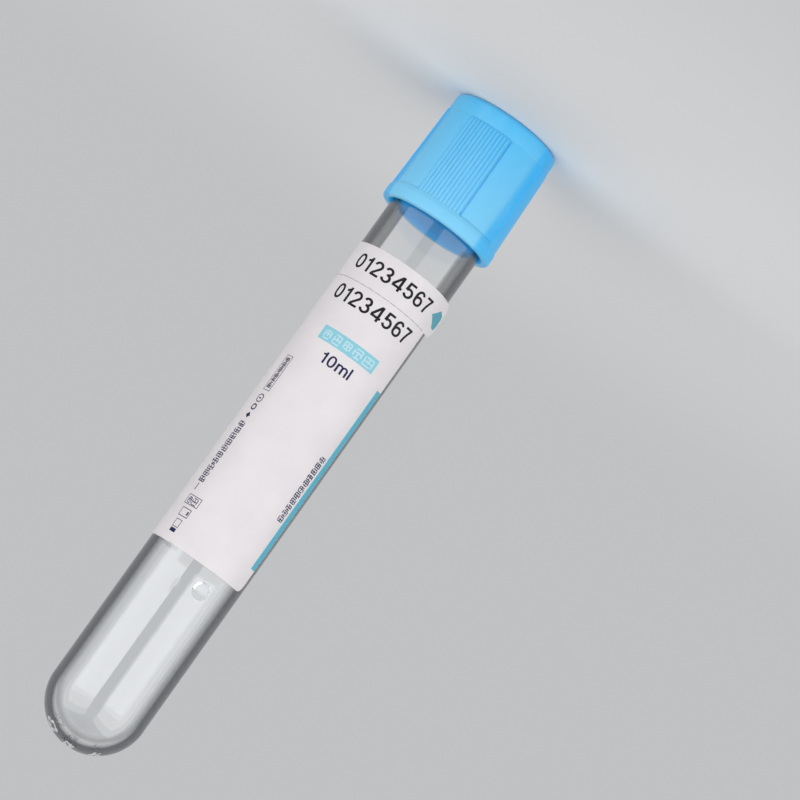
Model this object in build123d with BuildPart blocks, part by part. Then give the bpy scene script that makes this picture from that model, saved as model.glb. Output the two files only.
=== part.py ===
from build123d import *
from math import cos, radians, sin, tan
import os

# Blood collection tube: a clear moulded barrel with a paper label, closed by a ribbed cap that
# carries a rubber stopper. Its round end can't stand and its side rolls, so it stands on the
# flat top of its cap. +Z is up, towards the round end, the printed side of the label faces -Y,
# and the origin is on the floor under the middle of the tube. Millimetres throughout.
#
# A place along the tube is a station: its distance from the pole of the round end. An angle
# round the tube is in degrees from the front, and grows towards -X.

# Barrel
tube_radius = 7.8
tube_wall = 1.2
tube_length = 100.0
end_wall = 1.7
mouth_rounding = 0.3
gate_radius = 1.1
gate_depth = 0.2
gate_stub_radius = 0.4
gate_stub_height = 0.12

# Label, one sheet of paper with a tear-off strip at its cap end, whose tab stands free
label_thickness = 0.1
label_length = 52.3
label_gap = 7.9
label_left_angle = -150.0
label_right_angle = 78.5
label_corner = 1.2
strip_length = 5.5
tab_length = 4.0
tab_corner = 1.3

# Additive, a drop that hangs on the bore
drop_radius = 1.375
drop_height = 0.9
drop_gap = 3.1
drop_angle = 21.0

# Cap
skirt_overlap = 7.8
skirt_gap = 0.35
skirt_wall = 0.84
skirt_chamfer = 0.2
cap_height = 18.9
rim_height = 2.2
rim_step = 0.16
rim_slope = 0.3
rim_rounding = 0.4
band_height = 2.9
band_step = 0.13
band_slope = 0.2
top_rounding = 0.8
draft_angle = 1.6
panel_count = 2
panel_depth = 0.25
panel_angle = -12.2
panel_span_angle = 143.0
rib_count = 12
rib_pitch_angle = 3.88
rib_span_angle = 2.4
rib_height = 0.2
well_radius = 4.0
well_wall = 1.2
well_chamfer = 0.4
chamber_wall = 1.0
top_wall = 1.5
bead_reach = 0.17
bead_width = 0.5

# Stopper
plug_clearance = 0.05
plug_depth = 4.4
plug_rounding = 0.4
hollow_wall = 2.1
hollow_depth = 2.2
flange_clearance = 0.05
flange_height = 2.6
head_margin = 0.4
head_height = 2.6
dish_depth = 0.5

# Sizes that follow
bore_radius = tube_radius - tube_wall
label_radius = tube_radius + label_thickness
skirt_radius = tube_radius + skirt_gap
panel_radius = skirt_radius + skirt_wall
land_radius = panel_radius + panel_depth
rim_radius = land_radius + rim_step
rim_station = tube_length - skirt_overlap
panel_start = rim_station + rim_height
cap_top = rim_station + cap_height
panel_end = cap_top - band_height
narrowing = (panel_end - panel_start) * tan(radians(draft_angle))
band_radius = land_radius - narrowing - band_step
chamber_radius = panel_radius - narrowing - chamber_wall
well_outer = well_radius + well_wall
flange_top = tube_length + flange_height
head_top = flange_top + head_height
chamber_top = cap_top - top_wall
label_end = rim_station - label_gap
label_start = label_end - label_length
tear_station = label_end - strip_length
drop_station = label_start - drop_gap

# The tube's own directions as it stands, and the pole of its round end
along = Vector(0, 0, -1)
front = Vector(0, -1, 0)
across = front.cross(along)
pole = Vector(0, 0, cap_top)
quarter_turn = 90.0
tube_axis = Axis(pole, along)


def outward(angle):
    """Direction away from the tube's axis at an angle round it."""
    return front * cos(radians(angle)) - across * sin(radians(angle))


def radial_plane(angle):
    """Plane through the tube's axis: local x is the station, local y the radius."""
    return Plane(origin=pole, x_dir=along, z_dir=along.cross(outward(angle)))


def station_plane(station):
    """Plane square to the tube's axis: local x runs to +X, local y to the front."""
    return Plane(origin=pole + along * station, x_dir=across, z_dir=along)


def span_arc(radius, start, end):
    """Arc about the axis, on a station plane, between two angles round the tube."""
    return CenterArc((0, 0), radius, quarter_turn + start, end - start)


# Tube: one wall turned about the axis, with a dished moulding gate at its pole
with BuildPart() as tube:
    with BuildSketch(radial_plane(0)):
        with BuildLine():
            end_outside = CenterArc((tube_radius, 0), tube_radius, 90, 90)
            end_inside = CenterArc((end_wall + bore_radius, 0), bore_radius, 90, 90)
            Polyline(end_outside @ 0, (tube_length, tube_radius), (tube_length, bore_radius), end_inside @ 0)
            Line(end_inside @ 1, end_outside @ 1)
        make_face()
    revolve(axis=tube_axis)
    fillet(tube.edges().filter_by(GeomType.CIRCLE).sort_by(tube_axis)[-2:], mouth_rounding)
    with BuildSketch(station_plane(0)):
        Circle(gate_radius)
        Circle(gate_stub_radius, mode=Mode.SUBTRACT)
    extrude(amount=gate_depth, mode=Mode.SUBTRACT)
    with BuildSketch(station_plane(0)):
        Circle(gate_stub_radius)
    extrude(amount=gate_depth - gate_stub_height, mode=Mode.SUBTRACT)

# Label: a sheet rolled on the tube, and the straight tab of its tear-off strip
with BuildPart() as label:
    with BuildSketch(station_plane(label_start)):
        with BuildLine():
            face_side = span_arc(label_radius, label_left_angle, label_right_angle)
            glue_side = span_arc(tube_radius, label_left_angle, label_right_angle)
            Line(face_side @ 0, glue_side @ 0)
            Line(face_side @ 1, glue_side @ 1)
        make_face()
    extrude(amount=label_length)
    # A cutter rounds each corner but the one that the tab grows from
    for corner_angle, corner_station, corner_centre in (
        (label_left_angle, label_start, (label_corner, -label_corner)),
        (label_left_angle, label_end, (-label_corner, -label_corner)),
        (label_right_angle, label_start, (label_corner, label_corner)),
    ):
        corner_plane = Plane(pole + along * corner_station, x_dir=along, z_dir=outward(corner_angle))
        with BuildSketch(corner_plane):
            Rectangle(2 * label_corner, 2 * label_corner)
            with Locations(corner_centre):
                Circle(label_corner, mode=Mode.SUBTRACT)
        extrude(amount=label_radius + label_corner, mode=Mode.SUBTRACT)
    tab_root = pole + along * label_end + outward(label_right_angle) * label_radius
    tab_way = outward(label_right_angle + quarter_turn)
    with BuildSketch(Plane(pole + along * tear_station, x_dir=tab_way, z_dir=along)):
        with BuildLine():
            Polyline(
                (0, -tube_radius),
                (0, -label_radius),
                (tab_length, -label_radius),
                (tab_length, -tube_radius),
                close=True,
            )
        make_face()
    extrude(amount=strip_length)
    tab_tip = tab_root + tab_way * tab_length
    corners = label.edges().filter_by(lambda edge: edge.length < 2 * label_thickness)
    fillet(corners.sort_by_distance(tab_tip)[:2], tab_corner)

# Additive drop: a dome on the bore, cut to the bore's round
with BuildPart() as additive_drop:
    dome_radius = (drop_radius**2 + drop_height**2) / (2 * drop_height)
    with BuildSketch(radial_plane(drop_angle)):
        with BuildLine():
            crown = (drop_station, bore_radius - drop_height)
            foot = (drop_station + drop_radius, bore_radius)
            dome = RadiusArc(crown, foot, -dome_radius)
            Polyline(dome @ 1, (drop_station, bore_radius), dome @ 0)
        make_face()
    revolve(axis=Axis(pole + along * drop_station, outward(drop_angle)))
    with BuildSketch(station_plane(0)):
        Circle(bore_radius)
    extrude(amount=tube_length, mode=Mode.INTERSECT)

# Cap: skirt, chamber for the stopper and needle well in one turned section, then the two grip
# panels let into its side, each with a field of fine ribs down its middle
with BuildPart() as cap:
    with BuildSketch(radial_plane(0)) as section:
        with BuildLine():
            Polyline(
                (rim_station, skirt_radius),
                (rim_station, rim_radius),
                (panel_start - rim_slope, rim_radius),
                (panel_start, land_radius),
                (panel_end, land_radius - narrowing),
                (panel_end + band_slope, band_radius),
                (cap_top, band_radius),
                (cap_top, well_radius),
                (head_top, well_radius),
                (head_top, well_outer),
                (chamber_top, well_outer),
                (chamber_top, chamber_radius),
                (flange_top, chamber_radius),
                (flange_top, skirt_radius),
                (tube_length, skirt_radius),
                (tube_length, skirt_radius - bead_reach),
                (tube_length - bead_width, skirt_radius),
                close=True,
            )
        make_face()
        section_corners = section.vertices()
        fillet(section_corners.sort_by_distance((rim_station, rim_radius))[0], rim_rounding)
        fillet(section_corners.sort_by_distance((cap_top, band_radius))[0], top_rounding)
        chamfer(section_corners.sort_by_distance((rim_station, skirt_radius))[0], skirt_chamfer)
        chamfer(section_corners.sort_by_distance((cap_top, well_radius))[0], well_chamfer)
    revolve(axis=tube_axis)
    for panel in range(panel_count):
        middle = panel_angle + panel * 360 / panel_count
        with BuildSketch(radial_plane(middle - panel_span_angle / 2)):
            with BuildLine():
                Polyline(
                    (panel_start, panel_radius),
                    (panel_end, panel_radius - narrowing),
                    (panel_end + band_slope, band_radius),
                    (panel_end + band_slope, rim_radius),
                    (panel_start, rim_radius),
                    close=True,
                )
            make_face()
        revolve(axis=tube_axis, revolution_arc=panel_span_angle, mode=Mode.SUBTRACT)
        for rib in range(rib_count):
            rib_middle = middle + (rib - (rib_count - 1) / 2) * rib_pitch_angle
            with BuildSketch(radial_plane(rib_middle - rib_span_angle / 2)):
                with BuildLine():
                    Polyline(
                        (panel_start, panel_radius - skirt_wall / 2),
                        (panel_start, panel_radius + rib_height),
                        (panel_end, panel_radius - narrowing + rib_height),
                        (panel_end, panel_radius - narrowing - skirt_wall / 2),
                        close=True,
                    )
                make_face()
            revolve(axis=tube_axis, revolution_arc=rib_span_angle)

# Stopper: hollow plug in the mouth, flange on the mouth, and the head that a needle goes through
with BuildPart() as stopper:
    plug_radius = bore_radius - plug_clearance
    plug_end = tube_length - plug_depth
    flange_radius = skirt_radius - flange_clearance
    head_radius = well_outer + head_margin
    with BuildSketch(radial_plane(0)) as section:
        with BuildLine():
            Polyline(
                (plug_end + hollow_depth, 0),
                (plug_end + hollow_depth, plug_radius - hollow_wall),
                (plug_end, plug_radius - hollow_wall),
                (plug_end, plug_radius),
                (tube_length, plug_radius),
                (tube_length, flange_radius),
                (flange_top, flange_radius),
                (flange_top, head_radius),
                (head_top, head_radius),
                (head_top, well_radius),
                (head_top - dish_depth, well_radius - dish_depth),
                (head_top - dish_depth, 0),
                close=True,
            )
        make_face()
        section_corners = section.vertices()
        fillet(section_corners.sort_by_distance((plug_end, plug_radius))[0], plug_rounding)
    revolve(axis=tube_axis)

tube.part.label = "tube"
label.part.label = "label"
additive_drop.part.label = "additive_drop"
cap.part.label = "cap"
stopper.part.label = "stopper"

os.makedirs("parts", exist_ok=True)
export_step(tube.part, "parts/tube.step")
export_step(label.part, "parts/label.step")
export_step(additive_drop.part, "parts/additive_drop.step")
export_step(cap.part, "parts/cap.step")
export_step(stopper.part, "parts/stopper.step")
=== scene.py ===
"""A clear blood collection tube with a paper label, standing on its ribbed blue cap."""

import logging
import math
import random
from collections.abc import Callable, Iterable, Sequence
from dataclasses import dataclass, field
from enum import IntEnum

import bmesh
import bpy
from mathutils import Matrix, Vector


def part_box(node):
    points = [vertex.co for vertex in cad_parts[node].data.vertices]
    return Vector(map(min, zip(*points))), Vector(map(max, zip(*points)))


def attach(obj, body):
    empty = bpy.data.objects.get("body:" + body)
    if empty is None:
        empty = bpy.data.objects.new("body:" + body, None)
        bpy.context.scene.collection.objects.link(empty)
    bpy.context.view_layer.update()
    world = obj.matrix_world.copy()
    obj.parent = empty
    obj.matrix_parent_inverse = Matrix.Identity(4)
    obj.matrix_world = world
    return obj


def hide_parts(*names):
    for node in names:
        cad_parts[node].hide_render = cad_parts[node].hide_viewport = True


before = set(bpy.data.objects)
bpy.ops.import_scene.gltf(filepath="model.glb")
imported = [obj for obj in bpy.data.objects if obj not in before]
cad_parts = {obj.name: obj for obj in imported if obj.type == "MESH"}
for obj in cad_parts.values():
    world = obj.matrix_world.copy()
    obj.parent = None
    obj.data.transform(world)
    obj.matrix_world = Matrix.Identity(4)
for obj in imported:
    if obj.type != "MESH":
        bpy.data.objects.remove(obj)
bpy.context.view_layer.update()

LOG = logging.getLogger("collection_tube")
MM = 0.001
TUBE_BODY = "tube_body"
CLOSURE_BODY = "closure"

Point2 = tuple[float, float]
Colour = tuple[float, float, float]

BACKDROP: Colour = (0.53, 0.535, 0.545)
CRISP_FOLD = 40.0  # An edge that folds by more degrees than this stays crisp.
OVAL_POWER = 0.88  # A round of the print is an ellipse at 1, and squarer below it.


# ------------------------------------------------------------------------------------------------
# Shader wiring
# ------------------------------------------------------------------------------------------------


class Link:
    """An output socket of a board. Arithmetic on it adds Math nodes to the board."""

    def __init__(self, board: "Board", socket: bpy.types.NodeSocket) -> None:
        """Wraps an output socket of a node on a board."""
        self.board = board
        self.socket = socket

    def _math(self, operation: str, *terms: "Link | float") -> "Link":
        """The result of a Math node with an operation on some terms."""
        return self.board.node("ShaderNodeMath", {"operation": operation}, dict(enumerate(terms)))

    def __add__(self, other: "Link | float") -> "Link":
        """Sum."""
        return self._math("ADD", self, other)

    def __radd__(self, other: float) -> "Link":
        """Sum, with the number first."""
        return self._math("ADD", other, self)

    def __sub__(self, other: "Link | float") -> "Link":
        """Difference."""
        return self._math("SUBTRACT", self, other)

    def __rsub__(self, other: float) -> "Link":
        """Difference, with the number first."""
        return self._math("SUBTRACT", other, self)

    def __mul__(self, other: "Link | float") -> "Link":
        """Product."""
        return self._math("MULTIPLY", self, other)

    def __rmul__(self, other: float) -> "Link":
        """Product, with the number first."""
        return self._math("MULTIPLY", other, self)

    def __pow__(self, power: "Link | float") -> "Link":
        """Power."""
        return self._math("POWER", self, power)

    def also(self, result: str | int) -> "Link":
        """Another output of the same node, by name or number."""
        return Link(self.board, self.socket.node.outputs[result])

    def either(self, other: "Link | float") -> "Link":
        """The larger of two values."""
        return self._math("MAXIMUM", self, other)

    def both(self, other: "Link | float") -> "Link":
        """The smaller of two values."""
        return self._math("MINIMUM", self, other)

    def rise(self, low: float, high: float) -> "Link":
        """A smooth step.

        Args:
            low: The value at which the step starts, where the result is 0.
            high: The value at which it ends, where the result is 1. It may be below low.

        Returns:
            The step, from 0 to 1.
        """
        settings = {"interpolation_type": "SMOOTHSTEP"}
        sockets = {"Value": self, "From Min": low, "From Max": high}
        return self.board.node("ShaderNodeMapRange", settings, sockets)


class Board:
    """The node tree of one material, of a lamp or of the world."""

    def __init__(self, owner: bpy.types.Material | bpy.types.World | bpy.types.Light) -> None:
        """Empties the owner's tree and adds its output.

        Args:
            owner: The material, world or lamp to fill.
        """
        owner.use_nodes = True
        self.tree = owner.node_tree
        self.tree.nodes.clear()
        kinds = {bpy.types.World: "World", bpy.types.Light: "Light", bpy.types.Material: "Material"}
        kind = next(name for sort, name in kinds.items() if isinstance(owner, sort))
        self.output = self.tree.nodes.new(f"ShaderNodeOutput{kind}")

    def node(
        self,
        kind: str,
        settings: dict[str, object] | None = None,
        sockets: dict[str | int, object] | None = None,
        result: str | int = 0,
    ) -> Link:
        """Adds a node.

        Args:
            kind: The node's type.
            settings: Its properties, which are set first.
            sockets: Values or links for its inputs, by name or number.
            result: The output to return.

        Returns:
            That output.
        """
        made = self.tree.nodes.new(kind)
        for name, value in (settings or {}).items():
            setattr(made, name, value)
        for name, value in (sockets or {}).items():
            if isinstance(value, Link):
                self.tree.links.new(value.socket, made.inputs[name])
            else:
                made.inputs[name].default_value = value
        return Link(self, made.outputs[result])

    def place(self) -> Link:
        """Coordinates on the piece, in metres."""
        return self.node("ShaderNodeTexCoord", result="Object")

    def axes(self) -> tuple[Link, Link, Link]:
        """The coordinates on the piece along x, y and z, in metres."""
        x = self.node("ShaderNodeSeparateXYZ", sockets={0: self.place()})
        return x, x.also("Y"), x.also("Z")

    def noise(self, grain: float, detail: float, stretch: Colour) -> Link:
        """Soft noise.

        Args:
            grain: Size of one blotch, in metres.
            detail: How many finer layers it has.
            stretch: How much finer the noise is along x, y and z.

        Returns:
            The noise, about 0.5 in the middle.
        """
        sockets = {0: self.place(), 1: stretch}
        scaled = self.node("ShaderNodeVectorMath", {"operation": "MULTIPLY"}, sockets)
        sockets = {"Vector": scaled, "Scale": 1.0 / grain, "Detail": detail}
        return self.node("ShaderNodeTexNoise", sockets=sockets)

    def mix(self, share: Link | float, first: Link | Colour, second: Link | Colour) -> Link:
        """A mix of two colours.

        Args:
            share: How much of the second there is.
            first: The first colour.
            second: The second colour.

        Returns:
            The mixed colour.
        """
        sockets = {0: share}
        for number, colour in ((6, first), (7, second)):
            sockets[number] = colour if isinstance(colour, Link) else (*colour, 1.0)
        return self.node("ShaderNodeMix", {"data_type": "RGBA"}, sockets, 2)

    def bump(self, height: Link, depth: float, strength: float = 1.0) -> Link:
        """A normal bumped by a height, whose 1 is so deep in metres, at a share of its strength."""
        sockets = {"Strength": strength, "Distance": depth, "Height": height}
        return self.node("ShaderNodeBump", sockets=sockets)

    def surface(self, **sockets: object) -> Link:
        """A Principled shader with some of its inputs, named with _ for each space."""
        named = {name.replace("_", " "): value for name, value in sockets.items()}
        return self.node("ShaderNodeBsdfPrincipled", sockets=named)

    def blend(self, share: Link, first: Link, second: Link) -> Link:
        """A blend of two shaders, with a share of the second."""
        return self.node("ShaderNodeMixShader", sockets={0: share, 1: first, 2: second})

    def passing(self, shader: Link, tint: Colour, rays: Sequence[str]) -> Link:
        """Lets some kinds of ray pass straight through a shader.

        Args:
            shader: What all other rays meet.
            tint: What the rays that pass are tinted with.
            rays: The outputs of Light Path that tell the rays that pass.

        Returns:
            The shader for all rays.
        """
        through = self.node("ShaderNodeBsdfTransparent", sockets={0: (*tint, 1.0)})
        for kind in rays:
            ray = self.node("ShaderNodeLightPath", result=kind)
            shader = self.blend(ray, shader, through)
        return shader

    def seen(self) -> Link:
        """1 for a ray from the camera, or one that a mirror or glass passes on, otherwise 0."""
        ray = self.node("ShaderNodeLightPath", result="Is Camera Ray")
        return ray.either(ray.also("Is Glossy Ray")).either(ray.also("Is Transmission Ray"))

    def show(self, shader: Link) -> None:
        """Puts a shader on the output."""
        self.tree.links.new(shader.socket, self.output.inputs["Surface"])


# ------------------------------------------------------------------------------------------------
# Finishes
# ------------------------------------------------------------------------------------------------


@dataclass(frozen=True)
class Mottle:
    """A soft pattern on a piece.

    Its grain is in metres, its detail is how many finer layers it has, and its stretch is how
    much finer it is along x, y and z. Where it has a span to show in, it is 0 before the span's
    first value and 1 after its second.
    """

    grain: float
    detail: float
    stretch: Colour = (1.0, 1.0, 1.0)
    shows: Point2 | None = None

    def on(self, board: Board) -> Link:
        """The pattern on a board, from 0 to 1."""
        pattern = board.noise(self.grain, self.detail, self.stretch)
        return pattern.rise(*self.shows) if self.shows else pattern


@dataclass(frozen=True)
class Finish:
    """A finish that a piece can have.

    In a finish, a pair of numbers says where a change starts and where it ends, and heights and
    distances are in metres.
    """

    title: str = "finish"

    def paint(self, board: Board) -> None:
        """Fills the board. Each finish has its own way."""
        raise NotImplementedError

    def material(self) -> bpy.types.Material:
        """Makes a material of the finish.

        Returns:
            The new material.
        """
        made = bpy.data.materials.new(self.title)
        self.paint(Board(made))
        return made


@dataclass(frozen=True)
class ClearPlastic(Finish):
    """Polished clear moulding, a little scuffed round its gate. Painted shade darkens it edge on.
    """

    title: str = "clear_plastic"
    clear: Colour = (0.97, 0.98, 0.985)
    # Painted shade: the dark colour of the wall where it is seen edge on
    painted_rim_tone: Colour = (0.03, 0.033, 0.04)
    scraped: Colour = (0.80, 0.80, 0.80)
    passed_light: Colour = (0.95, 0.955, 0.96)
    bending: float = 1.57
    roughness: float = 0.015
    handled_roughness: float = 0.02
    scuffed_roughness: float = 0.35
    scuffed_share: float = 0.6
    pole_height: float = 0.1111
    gate_depth: Point2 = (0.002, 0.0005)
    gate_reach: Point2 = (0.0022, 0.0008)
    dome_height: float = 0.1033
    wall_middle: Point2 = (0.0070, 0.0074)
    # Where the painted edge shade falls on the skin, on the bore and by the mouth, and how strong
    # it is
    skin_edge: Point2 = (0.34, 0.5)
    bore_edge: Point2 = (0.42, 0.66)
    bore_shade: float = 0.6
    mouth_edge: Point2 = (0.325, 0.4)
    mouth_shade: float = 0.85
    mouth_height: Point2 = (0.055, 0.045)
    skirt_height: Point2 = (0.0177, 0.0191)
    outline: Point2 = (0.9, 1.0)
    handled: Mottle = Mottle(0.006, 3.0, shows=(0.52, 0.72))
    scuffs: Mottle = Mottle(0.0007, 4.0, shows=(0.42, 0.62))
    drawn: Mottle = Mottle(0.0011, 2.0, (1.0, 1.0, 0.02))
    drawn_depth: float = 0.0000012

    def _painted_edge_shade(self, board: Board) -> Link:
        """Finds where painted shade darkens the wall seen edge on.

        The skin and the bore get painted shade on their own: the bore more by the mouth, and
        none under the cap's skirt. The very outline is left without it.

        Args:
            board: The material's board.

        Returns:
            The share that the painted edge shade has there.
        """
        x, y, z = board.axes()
        edge_on = board.node("ShaderNodeLayerWeight", sockets={"Blend": 0.5}, result="Facing")
        over = (z - self.dome_height).either(0.0)
        outside = ((x * x + y * y + over * over) ** 0.5).rise(*self.wall_middle)
        bore = edge_on.rise(*self.bore_edge) * self.bore_shade
        mouth = edge_on.rise(*self.mouth_edge) * self.mouth_shade
        inside = (bore + z.rise(*self.mouth_height) * (mouth - bore)) * z.rise(*self.skirt_height)
        edge = outside * edge_on.rise(*self.skin_edge) + (1 - outside) * inside
        return edge * (1 - edge_on.rise(*self.outline))

    def paint(self, board: Board) -> None:
        """Fills the board.

        Args:
            board: The material's board.
        """
        x, y, z = board.axes()
        near_gate = ((x * x + y * y) ** 0.5).rise(*self.gate_reach)
        near_pole = (self.pole_height - z).rise(*self.gate_depth)
        scuffed = near_gate * near_pole * self.scuffs.on(board)
        handled = self.handled.on(board) * self.handled_roughness
        # Painted shade where the wall is seen edge on
        colour = board.mix(self._painted_edge_shade(board), self.clear, self.painted_rim_tone)
        plastic = board.surface(
            Base_Color=board.mix(scuffed * self.scuffed_share, colour, self.scraped),
            Roughness=self.roughness + handled + scuffed * self.scuffed_roughness,
            IOR=self.bending,
            Transmission_Weight=1.0,
            Normal=board.bump(self.drawn.on(board), self.drawn_depth),
        )
        rays = ("Is Shadow Ray", "Is Diffuse Ray")
        board.show(board.passing(plastic, self.passed_light, rays))


@dataclass(frozen=True)
class FrostedPlastic(Finish):
    """Clear moulding that is roughened white, as where a gate has been twisted off."""

    title: str = "frosted_plastic"
    white: Colour = (0.86, 0.86, 0.86)
    grey: Colour = (0.45, 0.45, 0.46)
    crushed: Mottle = Mottle(0.00012, 3.0)
    whitens: Point2 = (0.35, 0.65)
    roughness: float = 0.45
    crushed_roughness: float = 0.3
    depth: float = 0.00002

    def paint(self, board: Board) -> None:
        """Fills the board.

        Args:
            board: The material's board.
        """
        crushed = self.crushed.on(board)
        board.show(
            board.surface(
                Base_Color=board.mix(crushed.rise(*self.whitens), self.grey, self.white),
                Roughness=self.roughness + crushed * self.crushed_roughness,
                Normal=board.bump(crushed, self.depth),
            )
        )


@dataclass(frozen=True)
class Liquid(Finish):
    """Clear additive."""

    title: str = "additive"
    dull: Colour = (0.93, 0.95, 0.97)
    bright: Colour = (0.99, 0.99, 1.0)
    passed_light: Colour = (0.92, 0.93, 0.94)
    bending: float = 1.36
    cloud: Mottle = Mottle(0.0009, 2.0)
    roughness: float = 0.01
    cloud_roughness: float = 0.02

    def paint(self, board: Board) -> None:
        """Fills the board.

        Args:
            board: The material's board.
        """
        cloud = self.cloud.on(board)
        liquid = board.surface(
            Base_Color=board.mix(cloud, self.dull, self.bright),
            Roughness=self.roughness + cloud * self.cloud_roughness,
            IOR=self.bending,
            Transmission_Weight=1.0,
        )
        board.show(board.passing(liquid, self.passed_light, ("Is Shadow Ray",)))


@dataclass(frozen=True)
class LabelPaper(Finish):
    """Smooth coated paper, with a faint mottle and fibres."""

    title: str = "label_paper"
    sheet: Colour = (0.79, 0.752, 0.768)
    shade: Colour = (0.74, 0.705, 0.728)
    mottle: Mottle = Mottle(0.004, 4.0, shows=(0.3, 0.75))
    mottle_share: float = 0.7
    fibre: Mottle = Mottle(0.00035, 3.0, (1.0, 1.0, 0.35))
    fibre_share: float = 0.3
    fibre_depth: float = 0.00001
    fibre_strength: float = 0.5
    roughness: float = 0.42
    mottle_roughness: float = 0.12

    def paint(self, board: Board) -> None:
        """Fills the board.

        Args:
            board: The material's board.
        """
        mottle, fibre = self.mottle.on(board), self.fibre.on(board)
        shaded = mottle * self.mottle_share + fibre * self.fibre_share
        board.show(
            board.surface(
                Base_Color=board.mix(shaded, self.sheet, self.shade),
                Roughness=self.roughness + mottle * self.mottle_roughness,
                Normal=board.bump(fibre, self.fibre_depth, self.fibre_strength),
            )
        )


@dataclass(frozen=True)
class Ink(Finish):
    """Print on the label, a little uneven as it is laid on paper."""

    title: str = "ink"
    colour: Colour = (0.01, 0.01, 0.012)
    thin: float = 0.25
    paper: float = 0.75
    patchy: Mottle = Mottle(0.00025, 3.0, shows=(0.45, 0.8))
    patchy_share: float = 0.6
    roughness: float = 0.5
    patchy_roughness: float = 0.1
    sheen: float = 0.2

    def paint(self, board: Board) -> None:
        """Fills the board.

        Args:
            board: The material's board.
        """
        patchy = self.patchy.on(board)
        lighter = tuple(part + (self.paper - part) * self.thin for part in self.colour)
        board.show(
            board.surface(
                Base_Color=board.mix(patchy * self.patchy_share, self.colour, lighter),
                Roughness=self.roughness + patchy * self.patchy_roughness,
                Specular_IOR_Level=self.sheen,
            )
        )


@dataclass(frozen=True)
class CapPlastic(Finish):
    """Satin moulding of light blue, with painted light: a painted highlight makes it paler
    towards the rim, and painted shade makes it deeper on the lands and inside the skirt.

    The inside of the skirt also has a painted glow, an emission that stands in for light
    through the skirt.
    """

    title: str = "cap_plastic"
    # Painted highlight: the paler colour at the cap's rim
    painted_rim_tone: Colour = (0.215, 0.635, 0.94)
    top: Colour = (0.085, 0.51, 0.875)
    # Painted shade: the deeper colour on the lands
    painted_land_shade: Colour = (0.03, 0.46, 0.92)
    pale: Colour = (0.24, 0.66, 0.95)
    # Painted shade: the deep colour inside the skirt
    inside: Colour = (0.002, 0.40, 0.86)
    # Painted glow: emission inside the skirt that stands in for light through it
    painted_glow: Colour = (0.0, 0.06, 0.15)
    dark: Colour = (0.0, 0.0, 0.0)
    height: float = 0.0189
    panel_angle: float = -13.85
    land_edge: Point2 = (0.0072, 0.0079)
    land_shade_share: float = 0.75
    # Radii and heights of the skirt's inside, where the painted shade and the painted glow lie
    inside_radius: Point2 = (0.0083, 0.0082)
    skirt_inside: Point2 = (0.0108, 0.0125)
    swirl: Mottle = Mottle(0.007, 3.0, (1.0, 1.0, 0.5))
    swirl_shows: Point2 = (0.4, 0.7)
    swirl_relief: float = 0.4
    rubbed: Mottle = Mottle(0.0012, 4.0, (1.0, 1.0, 0.3), (0.5, 0.75))
    rubbed_roughness: float = 0.1
    pale_share: float = 0.15
    grain: Mottle = Mottle(0.00012, 2.0)
    grain_relief: float = 0.6
    grain_roughness: float = 0.05
    relief_depth: float = 0.000006
    roughness: float = 0.36
    sheen: float = 0.3

    def _tone(self, board: Board, painted_inside_mask: Link, swirl: Link, rubbed: Link) -> Link:
        """Colours the cap: painted highlight at the rim, painted shade on the lands and inside.

        Args:
            board: The material's board.
            painted_inside_mask: 1 on the inside of the skirt, which gets painted shade, 0
                elsewhere.
            swirl: How the colour flows in the moulding.
            rubbed: Where the cap is rubbed.

        Returns:
            The colour.
        """
        x, y, z = board.axes()
        turn = math.radians(self.panel_angle)
        aside = x * math.cos(turn) - y * math.sin(turn)
        near, far = self.land_edge
        land_shade_mask = aside.rise(near, far).either(aside.rise(-near, -far))
        worn = (swirl.rise(*self.swirl_shows) + rubbed) * self.pale_share
        # Painted highlight: paler from the top towards the rim
        colour = board.mix(z * (1 / self.height), self.top, self.painted_rim_tone)
        # Painted shade: deeper colour on the lands
        colour = board.mix(land_shade_mask * self.land_shade_share, colour, self.painted_land_shade)
        colour = board.mix(worn, colour, self.pale)
        # Painted shade: deeper colour inside the skirt
        return board.mix(painted_inside_mask, colour, self.inside)

    def paint(self, board: Board) -> None:
        """Fills the board.

        Args:
            board: The material's board.
        """
        x, y, z = board.axes()
        swirl, rubbed, grain = (part.on(board) for part in (self.swirl, self.rubbed, self.grain))
        painted_inside_mask = ((x * x + y * y) ** 0.5).rise(*self.inside_radius)
        # Painted glow: an emission on the inside of the skirt, standing in for light through it
        painted_glow_share = painted_inside_mask * z.rise(*self.skirt_inside)
        worn = rubbed * self.rubbed_roughness + grain * self.grain_roughness
        relief = grain * self.grain_relief + swirl * self.swirl_relief
        board.show(
            board.surface(
                Base_Color=self._tone(board, painted_inside_mask, swirl, rubbed),
                Roughness=self.roughness + worn,
                Specular_IOR_Level=self.sheen,
                Emission_Color=board.mix(painted_glow_share, self.dark, self.painted_glow),
                Emission_Strength=1.0,
                Normal=board.bump(relief, self.relief_depth),
            )
        )


@dataclass(frozen=True)
class StopperRubber(Finish):
    """Matt rubber with a fine bloom."""

    title: str = "stopper_rubber"
    colour: Colour = (0.045, 0.047, 0.052)
    bloom: Colour = (0.10, 0.10, 0.105)
    dusty: Mottle = Mottle(0.0015, 5.0, shows=(0.45, 0.8))
    grain: Mottle = Mottle(0.0002, 3.0)
    grain_depth: float = 0.00001
    roughness: float = 0.62
    dusty_roughness: float = 0.15

    def paint(self, board: Board) -> None:
        """Fills the board.

        Args:
            board: The material's board.
        """
        dusty = self.dusty.on(board)
        board.show(
            board.surface(
                Base_Color=board.mix(dusty, self.colour, self.bloom),
                Roughness=self.roughness + dusty * self.dusty_roughness,
                Normal=board.bump(self.grain.on(board), self.grain_depth),
            )
        )


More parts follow.
